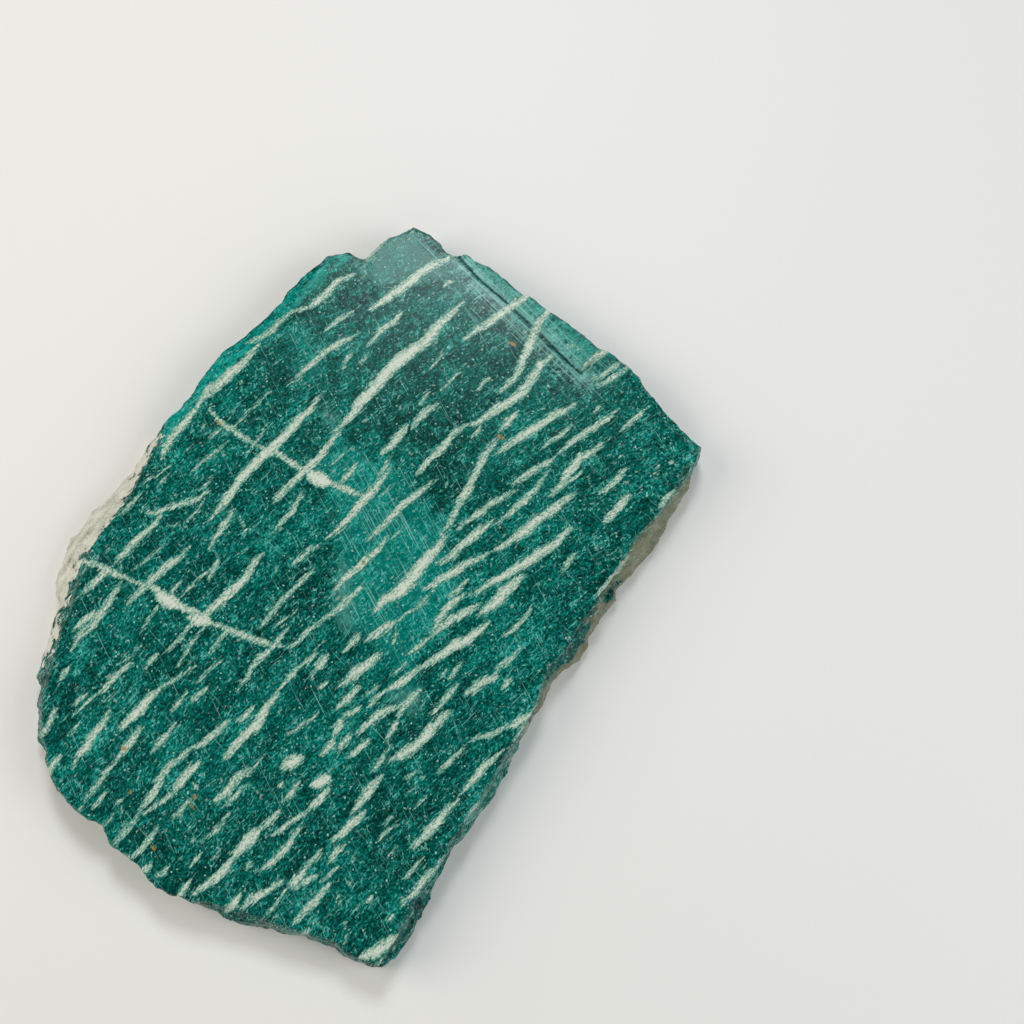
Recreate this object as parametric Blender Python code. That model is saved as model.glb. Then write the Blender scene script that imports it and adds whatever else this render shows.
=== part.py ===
# Rough amazonite slab: one sawn slice of green feldspar, about 110 x 125 x 7 mm.
# It lies on its sawn back. Metres, +Z up, origin in the middle of the back.
# The face and the back are sawn flat. The edge all round is broken or natural rock:
# a rounded lip, shallow facets, ledges and chips, with a pale lumpy rind on the left.
import math
import random

import bmesh
import bpy
import numpy as np
from mathutils import Vector

MM = 0.001

# Driving dimensions
THICKNESS = 7.0 * MM           # saw cut to saw cut
STATION_SPACING = 1.45 * MM    # distance between stations around the edge
SEED = 41

# Heights of the sections between the back and the lip, as shares of the thickness
RING_HEIGHTS = (0.0, 0.06, 0.18, 0.31, 0.44, 0.57, 0.70)
RING_WANDER = 0.045            # how far a section strays up and down, as a share
RING_WANDER_LENGTH = 6.0 * MM
STATION_STRAY = 0.28           # how far a point strays along the edge, as a share of the spacing

# How a wall reaches out below the lip: share of the reach at each share of the depth
REACH_DEPTHS = (0.0, 0.25, 0.5, 0.8, 1.0)
REACH_SHARES = (0.0, 0.70, 1.0, 1.0, 0.9)
BACK_CHIP = 0.35 * MM          # worn arris along the back

# Broken rock facets on the walls
FACET_LENGTH = 4.2 * MM        # mean size along the edge
FACET_HEIGHT = 2.8 * MM        # mean size up the wall
FACET_TILT = 0.22              # steepest lean of a facet
RELIEF_ONSET = 3.0             # relief is full from a third of the way down the wall
LEDGE_COUNT = 26
LEDGE_LENGTH = (6.0 * MM, 17.0 * MM)
LEDGE_LEVELS = (0.2, 0.8)      # lowest and highest, as shares of the thickness
LEDGE_DEPTH = (0.7, 1.5)       # as shares of the height of the facets
LEDGE_FADE = 2.5               # how steeply a ledge comes in at its ends

# Small chips bitten out of the rim
CHIP_COUNT = 34
CHIP_LENGTH = (1.6 * MM, 4.2 * MM)
CHIP_DEPTH = (0.2 * MM, 0.6 * MM)
NORMAL_REACH = 3               # stations to each side that settle the direction of a wall

# Strip along the upper right edge, where the saw wandered and cut deeper
STEP_START = (10.6, 58.0)      # mm, beyond the edge
STEP_END = (34.4, 34.3)        # mm, inner corner of the strip
STEP_START_DEPTH = 0.2 * MM
STEP_END_DEPTH = 0.85 * MM
STEP_CUTTER_SIZE = (14.0 * MM, 4.0 * MM)   # width and height

# Short open cleavage line that runs in from the notch on the top left
CRACK_START = (-3.2, 57.5)     # mm
CRACK_END = (-1.3, 46.6)       # mm
CRACK_WIDTH = 0.35 * MM
CRACK_DEPTH = 0.5 * MM

# The outline, clockwise from the apex, as stretches of edge with their own character.
# lip is the width and drop of the rounded lip in mm, rough is the height of the facets.
# Each point is (x, y, reach): reach is how far the wall stands out below the lip, in mm.
EDGES = (
    {"name": "apex", "lip": (0.9, 0.7), "rough": 0.25, "points": (
        (5.5, 62.0, 0.0), (8.5, 60.5, 0.3), (11.5, 57.5, 0.5))},
    {"name": "sawn strip", "lip": (0.6, 1.3), "rough": 0.25, "points": (
        (13.0, 56.5, 0.5), (15.0, 57.0, 0.3), (19.0, 54.5, 0.2), (22.0, 52.0, 0.2),
        (24.5, 49.5, 0.0), (26.0, 49.0, 0.0), (29.0, 46.5, 0.2), (32.5, 44.0, 0.2),
        (35.0, 42.0, 0.3), (37.5, 39.5, 0.2))},
    {"name": "bright chamfer", "lip": (1.7, 0.9), "rough": 0.25, "points": (
        (39.5, 39.0, 0.2), (42.0, 37.0, 0.3), (44.5, 34.0, 0.3), (47.5, 29.5, 0.3),
        (51.0, 25.0, 0.4), (54.5, 21.5, 0.4), (53.5, 18.5, 0.4))},
    {"name": "right crumbly wall", "lip": (0.4, 0.5), "rough": 0.55, "points": (
        (51.0, 15.0, 1.3), (49.5, 12.5, 1.9), (46.5, 8.5, 2.1), (43.0, 5.0, 1.9),
        (41.5, 2.0, 1.9), (39.0, -1.5, 1.6), (37.0, -5.5, 1.4), (34.0, -9.0, 1.9),
        (32.0, -13.0, 1.9), (29.0, -16.0, 1.4), (28.0, -18.5, 0.8), (27.0, -21.5, 0.7),
        (26.0, -23.5, 0.5), (23.0, -28.0, 0.5))},
    {"name": "lower right", "lip": (0.5, 0.5), "rough": 0.45, "points": (
        (19.5, -34.5, 0.8), (16.0, -39.5, 1.1), (13.0, -45.0, 0.8), (9.0, -51.0, 1.0),
        (6.0, -56.0, 1.2), (4.0, -60.0, 0.8), (2.5, -62.0, 0.3))},
    {"name": "bottom lip", "lip": (0.5, 0.5), "rough": 0.35, "points": (
        (0.5, -61.5, 0.3), (-3.0, -60.0, 0.5), (-4.5, -58.5, 0.5), (-9.5, -57.0, 0.7),
        (-12.0, -56.5, 0.9), (-14.5, -55.5, 1.2), (-17.5, -54.5, 1.6), (-20.5, -54.0, 1.7),
        (-23.5, -53.0, 1.3))},
    {"name": "undercut", "lip": (0.4, 0.4), "rough": 0.4, "points": (
        (-26.5, -52.5, 0.2), (-30.0, -51.5, -0.5), (-32.5, -50.5, -0.9), (-35.5, -47.0, -0.6),
        (-37.5, -45.5, -0.9), (-40.0, -44.0, -0.9), (-41.5, -41.0, -0.6), (-44.0, -40.0, -0.9),
        (-46.5, -38.0, -0.6), (-49.0, -35.5, -0.3))},
    {"name": "lower left", "lip": (0.6, 0.6), "rough": 0.5, "points": (
        (-51.0, -32.0, 0.2), (-52.5, -27.0, 0.8), (-52.9, -21.5, 1.3), (-52.0, -16.0, 1.9))},
    {"name": "pale rind", "lip": (0.7, 0.8), "rough": 0.75, "points": (
        (-51.0, -10.5, 2.7), (-49.8, -5.5, 3.4), (-48.7, -2.0, 3.9), (-47.5, 2.0, 4.4),
        (-47.0, 4.5, 4.1), (-45.0, 7.5, 4.3), (-42.0, 11.5, 4.2), (-40.5, 14.5, 3.3),
        (-39.0, 18.5, 2.4), (-37.5, 21.5, 1.7))},
    {"name": "rolled light edge", "lip": (2.4, 0.7), "rough": 0.3, "points": (
        (-36.0, 26.0, 0.7), (-34.0, 28.5, 0.3), (-31.5, 31.5, 0.3), (-29.5, 35.0, 0.3),
        (-27.0, 38.5, 0.2), (-23.5, 41.5, 0.2), (-20.0, 44.5, 0.2), (-17.5, 48.0, 0.2),
        (-15.5, 51.0, 0.2), (-13.0, 53.0, 0.2))},
    {"name": "notched top left", "lip": (0.8, 0.6), "rough": 0.3, "points": (
        (-11.5, 54.5, 0.3), (-9.5, 56.5, 0.4), (-8.0, 56.8, 0.4), (-5.5, 57.0, 0.4),
        (-3.0, 55.5, 0.2), (-1.0, 58.0, 0.2), (1.0, 60.0, 0.2), (3.0, 60.5, 0.2))},
)


def outline_stations():
    """Walk the outline and return one row a station: x, y, reach, lip width, lip drop, rough."""
    corners = []
    for edge in EDGES:
        lip_width, lip_drop = edge["lip"]
        for x, y, reach in edge["points"]:
            corners.append((x, y, reach, lip_width, lip_drop, edge["rough"]))
    corners = np.array(corners) * MM
    following = np.roll(corners, -1, axis=0)
    stations = []
    for here, there in zip(corners, following):
        length = math.dist(here[:2], there[:2])
        pieces = max(1, round(length / STATION_SPACING))
        for piece in range(pieces):
            stations.append(here + (there - here) * piece / pieces)
    return np.array(stations)


def smooth_round(values, reach):
    """Average each value with its neighbours around the closed edge."""
    total = np.zeros_like(values)
    for offset in range(-reach, reach + 1):
        total += np.roll(values, offset, axis=0)
    return total / (2 * reach + 1)


def outward(points):
    """Unit directions that point away from the slab, evened out over the nearest stations."""
    along = np.roll(points, -1, axis=0) - np.roll(points, 1, axis=0)
    along /= np.linalg.norm(along, axis=1, keepdims=True)
    sideways = np.column_stack((-along[:, 1], along[:, 0]))
    sideways = smooth_round(sideways, NORMAL_REACH)
    return sideways / np.linalg.norm(sideways, axis=1, keepdims=True)


def arc_lengths(points):
    """Distance along the edge from the apex to each station, and the length all round."""
    steps = np.linalg.norm(np.roll(points, -1, axis=0) - points, axis=1)
    return np.concatenate(([0.0], np.cumsum(steps)[:-1])), steps.sum()


def around(distance, length):
    """Signed distance along a closed edge, the short way round."""
    return (distance + length / 2) % length - length / 2


def rim_chips(arcs, length, rng):
    """How far small chips bite into the rim at each station."""
    bite = np.zeros_like(arcs)
    for _ in range(CHIP_COUNT):
        centre = rng.uniform(0, length)
        half = rng.uniform(*CHIP_LENGTH) / 2
        depth = rng.uniform(*CHIP_DEPTH)
        shape = np.clip(1 - np.abs(around(arcs - centre, length)) / half, 0, 1)
        bite = np.maximum(bite, depth * shape)
    return bite


def facet_seeds(length, rng):
    """Centres of the broken facets on the wall, each with its own stand and lean."""
    columns = round(length / FACET_LENGTH)
    rows = round(THICKNESS / FACET_HEIGHT)
    seeds = []
    for column in range(columns):
        for row in range(rows):
            seeds.append((
                (column + rng.uniform(-0.1, 1.1)) * length / columns,
                (row + rng.uniform(-0.1, 1.1)) * THICKNESS / rows,
                rng.uniform(-1, 1),
                rng.uniform(-FACET_TILT, FACET_TILT),
                rng.uniform(-FACET_TILT, FACET_TILT)))
    return np.array(seeds)


def facet_relief(arc, height, length, rough, seeds):
    """Relief of the nearest facet at a point of the wall."""
    aside = around(arc - seeds[:, 0], length)
    above = height - seeds[:, 1]
    nearest = np.argmin((aside / FACET_LENGTH) ** 2 + (above / FACET_HEIGHT) ** 2)
    stand, lean_aside, lean_above = seeds[nearest, 2:]
    lean = lean_aside * aside[nearest] + lean_above * above[nearest]
    return rough * stand + min(max(lean, -rough), rough)


def ledge_set(length, rng):
    """Cleavage ledges: short runs of wall that are set back above a given height."""
    ledges = []
    for _ in range(LEDGE_COUNT):
        ledges.append((
            rng.uniform(0, length),
            rng.uniform(*LEDGE_LENGTH) / 2,
            rng.uniform(*LEDGE_LEVELS) * THICKNESS,
            rng.uniform(*LEDGE_DEPTH)))
    return ledges


def ledge_relief(arc, height, length, rough, ledges):
    """How far the wall is set back at a point, ledges fading out at their ends."""
    back = 0.0
    for centre, half, level, depth in ledges:
        inside = max(0.0, 1 - abs(around(arc - centre, length)) / half)
        if height > level:
            back += rough * depth * min(1.0, LEDGE_FADE * inside)
    return back


def wander(arcs, length, rng):
    """A slow seeded wave along the edge, between -1 and 1, that closes on itself."""
    knots = max(4, round(length / RING_WANDER_LENGTH))
    values = [rng.uniform(-1, 1) for _ in range(knots)]
    places = [knot * length / knots for knot in range(knots)]
    return np.interp(arcs, places, values, period=length)


def wall_section(share, edge, rng):
    """The points of one section of the wall, at its share of the thickness."""
    arcs, length = edge["arcs"], edge["length"]
    on_back = share == 0
    rise = wander(arcs, length, rng) * RING_WANDER
    section = []
    for index, arc in enumerate(arcs):
        away = edge["away"][index]
        along = np.array((away[1], -away[0]))
        rough = edge["rough"][index]
        stray = rng.uniform(-STATION_STRAY, STATION_STRAY) * STATION_SPACING
        height = max(share + rise[index], share / 2) * THICKNESS
        if on_back:
            stray = 0.0
            height = 0.0
        depth_share = 1 - height / (THICKNESS - edge["lip_drop"][index])
        relief = facet_relief(arc, height, length, rough, edge["facets"])
        relief -= ledge_relief(arc, height, length, rough, edge["ledges"])
        offset = edge["reach"][index] * np.interp(depth_share, REACH_DEPTHS, REACH_SHARES)
        offset += relief * min(1.0, RELIEF_ONSET * depth_share)
        if on_back:
            offset -= BACK_CHIP
        spot = edge["rim"][index] + away * offset + along * stray
        section.append(Vector((spot[0], spot[1], height)))
    return section


def slab_sections():
    """The closed sections of the slab from the back up to the face, as lists of points."""
    rng = random.Random(SEED)
    stations = outline_stations()
    outline = stations[:, :2]
    reach = stations[:, 2]
    lip_width, lip_drop, rough = smooth_round(stations[:, 3:], NORMAL_REACH).T
    away = outward(outline)
    arcs, length = arc_lengths(outline)
    rim = outline - away * rim_chips(arcs, length, rng)[:, None]
    edge = {
        "rim": rim, "away": away, "arcs": arcs, "length": length,
        "reach": reach, "lip_drop": lip_drop, "rough": rough,
        "facets": facet_seeds(length, rng), "ledges": ledge_set(length, rng),
    }
    sections = [wall_section(share, edge, rng) for share in RING_HEIGHTS]
    sections.append([Vector((x, y, THICKNESS - drop)) for (x, y), drop in zip(rim, lip_drop)])
    face = rim - away * lip_width[:, None]
    sections.append([Vector((x, y, THICKNESS)) for x, y in face])
    return sections


def loft(name, sections):
    """Set the points of a cylinder, one for each station and section, where the slab has them."""
    count = len(sections[0])
    top = len(sections) - 1
    model = bmesh.new()
    bmesh.ops.create_cone(
        model, cap_ends=True, segments=count, radius1=1.0, radius2=1.0, depth=1.0)
    upright = [edge for edge in model.edges
               if abs(edge.verts[0].co.z - edge.verts[1].co.z) > 0.5]
    bmesh.ops.subdivide_edges(model, edges=upright, cuts=top - 1, use_grid_fill=True)
    for corner in model.verts:
        turn = math.atan2(corner.co.y, corner.co.x) / math.tau
        station = -round(turn * count) % count
        level = round((corner.co.z + 0.5) * top)
        corner.co = sections[level][station]
    mesh = bpy.data.meshes.new(name)
    model.to_mesh(mesh)
    model.free()
    return bpy.data.objects.new(name, mesh)


def box_cutter(name, size, centre, turn, dip=0.0):
    """A wire box to cut with, its length turned about the upright axis and then dipped."""
    model = bmesh.new()
    bmesh.ops.create_cube(model, size=1.0)
    bmesh.ops.scale(model, vec=size, verts=model.verts)
    mesh = bpy.data.meshes.new(name)
    model.to_mesh(mesh)
    model.free()
    cutter = bpy.data.objects.new(name, mesh)
    cutter.location = centre
    cutter.rotation_euler = (0.0, dip, turn)
    cutter.hide_render = True
    cutter.display_type = "WIRE"
    return cutter


def strip_cutter():
    """The box that lowers the strip along the upper right edge, deeper towards its end."""
    start = Vector(STEP_START) * MM
    end = Vector(STEP_END) * MM
    run = end - start
    width, height = STEP_CUTTER_SIZE
    aside = Vector((-run.y, run.x)).normalized() * width / 2
    middle = (start + end) / 2 + aside
    depth = (STEP_START_DEPTH + STEP_END_DEPTH) / 2
    dip = math.atan2(STEP_END_DEPTH - STEP_START_DEPTH, run.length)
    return box_cutter(
        "strip_cutter", (run.length, width, height),
        (middle.x, middle.y, THICKNESS - depth + height / 2),
        math.atan2(run.y, run.x), dip)


def crack_cutter():
    """The thin box that leaves a shallow slot where the cleavage line opened."""
    start = Vector(CRACK_START) * MM
    end = Vector(CRACK_END) * MM
    run = end - start
    return box_cutter(
        "crack_cutter", (run.length, CRACK_WIDTH, 2 * CRACK_DEPTH),
        (*((start + end) / 2), THICKNESS), math.atan2(run.y, run.x))


def cut(piece, cutter):
    """Cut one shape out of the slab."""
    modifier = piece.modifiers.new(cutter.name, "BOOLEAN")
    modifier.operation = "DIFFERENCE"
    modifier.solver = "EXACT"
    modifier.object = cutter


def amazonite_material():
    """Wet green feldspar: deep teal with a soft gloss."""
    material = bpy.data.materials.new("amazonite")
    material.use_nodes = True
    shader = material.node_tree.nodes["Principled BSDF"]
    shader.inputs["Base Color"].default_value = (0.004, 0.125, 0.102, 1.0)
    shader.inputs["Roughness"].default_value = 0.32
    shader.inputs["Metallic"].default_value = 0.0
    return material


def build():
    """Make the slab and its cutters, in two collections."""
    for item in list(bpy.data.objects):
        bpy.data.objects.remove(item, do_unlink=True)
    slab_group = bpy.data.collections.new("rough_amazonite")
    cutter_group = bpy.data.collections.new("cutters")
    for group in (slab_group, cutter_group):
        bpy.context.scene.collection.children.link(group)

    slab = loft("amazonite_slab", slab_sections())
    slab.data.materials.append(amazonite_material())
    slab_group.objects.link(slab)
    for cutter in (strip_cutter(), crack_cutter()):
        cutter_group.objects.link(cutter)
        cut(slab, cutter)


build()
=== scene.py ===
# Rough amazonite: one sawn slice of green feldspar, still wet, lying on its back.
# Metres, +Z up. Places on the stone are in millimetres from the middle of its back.
import math

import bpy
import numpy as np
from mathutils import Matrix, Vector, noise


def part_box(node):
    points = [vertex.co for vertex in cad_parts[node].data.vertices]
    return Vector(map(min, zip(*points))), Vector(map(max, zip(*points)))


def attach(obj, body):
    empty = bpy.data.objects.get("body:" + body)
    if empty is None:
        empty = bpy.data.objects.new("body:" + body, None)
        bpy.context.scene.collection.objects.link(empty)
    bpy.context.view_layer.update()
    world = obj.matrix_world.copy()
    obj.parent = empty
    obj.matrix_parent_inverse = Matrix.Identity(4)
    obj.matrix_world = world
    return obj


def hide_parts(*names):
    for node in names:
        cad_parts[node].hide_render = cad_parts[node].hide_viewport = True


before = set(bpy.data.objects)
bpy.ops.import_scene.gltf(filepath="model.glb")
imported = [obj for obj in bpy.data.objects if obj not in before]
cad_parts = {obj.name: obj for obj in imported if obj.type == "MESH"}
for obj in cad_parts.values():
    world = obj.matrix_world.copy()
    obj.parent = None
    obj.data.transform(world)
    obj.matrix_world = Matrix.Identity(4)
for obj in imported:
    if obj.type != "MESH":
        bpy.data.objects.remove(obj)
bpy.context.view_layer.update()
mm = 0.001


def linearColour(hexColour):
    channels = [int(hexColour[place:place + 2], 16) / 255 for place in (1, 3, 5)]
    linear = [c / 12.92 if c <= 0.04045 else ((c + 0.055) / 1.055) ** 2.4 for c in channels]
    return (*linear, 1.0)


def addNode(tree, kind, inputs=None, stops=None, **settings):
    node = tree.nodes.new(kind)
    for name, value in settings.items():
        setattr(node, name, value)
    for socket, value in (inputs or {}).items():
        if isinstance(value, bpy.types.NodeSocket):
            tree.links.new(value, node.inputs[socket])
        elif isinstance(value, str):
            node.inputs[socket].default_value = linearColour(value)
        else:
            node.inputs[socket].default_value = value
    for place, (position, colour) in enumerate(stops or ()):
        ramp = node.color_ramp.elements
        stop = ramp[place] if place < 2 else ramp.new(position)
        stop.position = position
        stop.color = linearColour(colour)
    return node


# The slice itself. The mesh is laid out along the grain, which runs up to the right.
sliceSizes = {
    "name": "amazoniteSlice",
    "thickness": 7.0,
    "cellAcross": 0.29,        # mesh size across the grain and up the walls, mm
    "cellAlong": 0.49,         # mesh size along the grain, mm
    "grainTurn": 43.0,         # degrees from +X at the middle of the stone
    "grainBend": 0.00132,      # per mm: the grain leans over from 52 to 36 degrees
    "grainDip": (0.22, -0.30), # how far the streaks lean in x and y per mm of depth
    "backShare": 0.635,         # triangles kept after the back is thinned
    "facetSize": 1.9,          # cleavage facets on the broken edge, mm
    "facetDepth": 0.42,
    "crumbSize": 0.55,         # crumbs and grains on the broken edge, mm
    "crumbDepth": 0.10,
}

# Where the saw wandered and left a strip lower than the face
sawStep = {
    "line": (13.0, 56.4, 16.9, 51.7, 22.4, 46.7, 27.7, 41.5, 34.4, 34.3),
    "dish": 0.16,              # how far the face dips towards the step, mm
    "dishWidth": 7.0,
    "pitch": 1.1,              # long saw waves beside the step, mm
    "waveHeight": 0.022,
}

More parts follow.
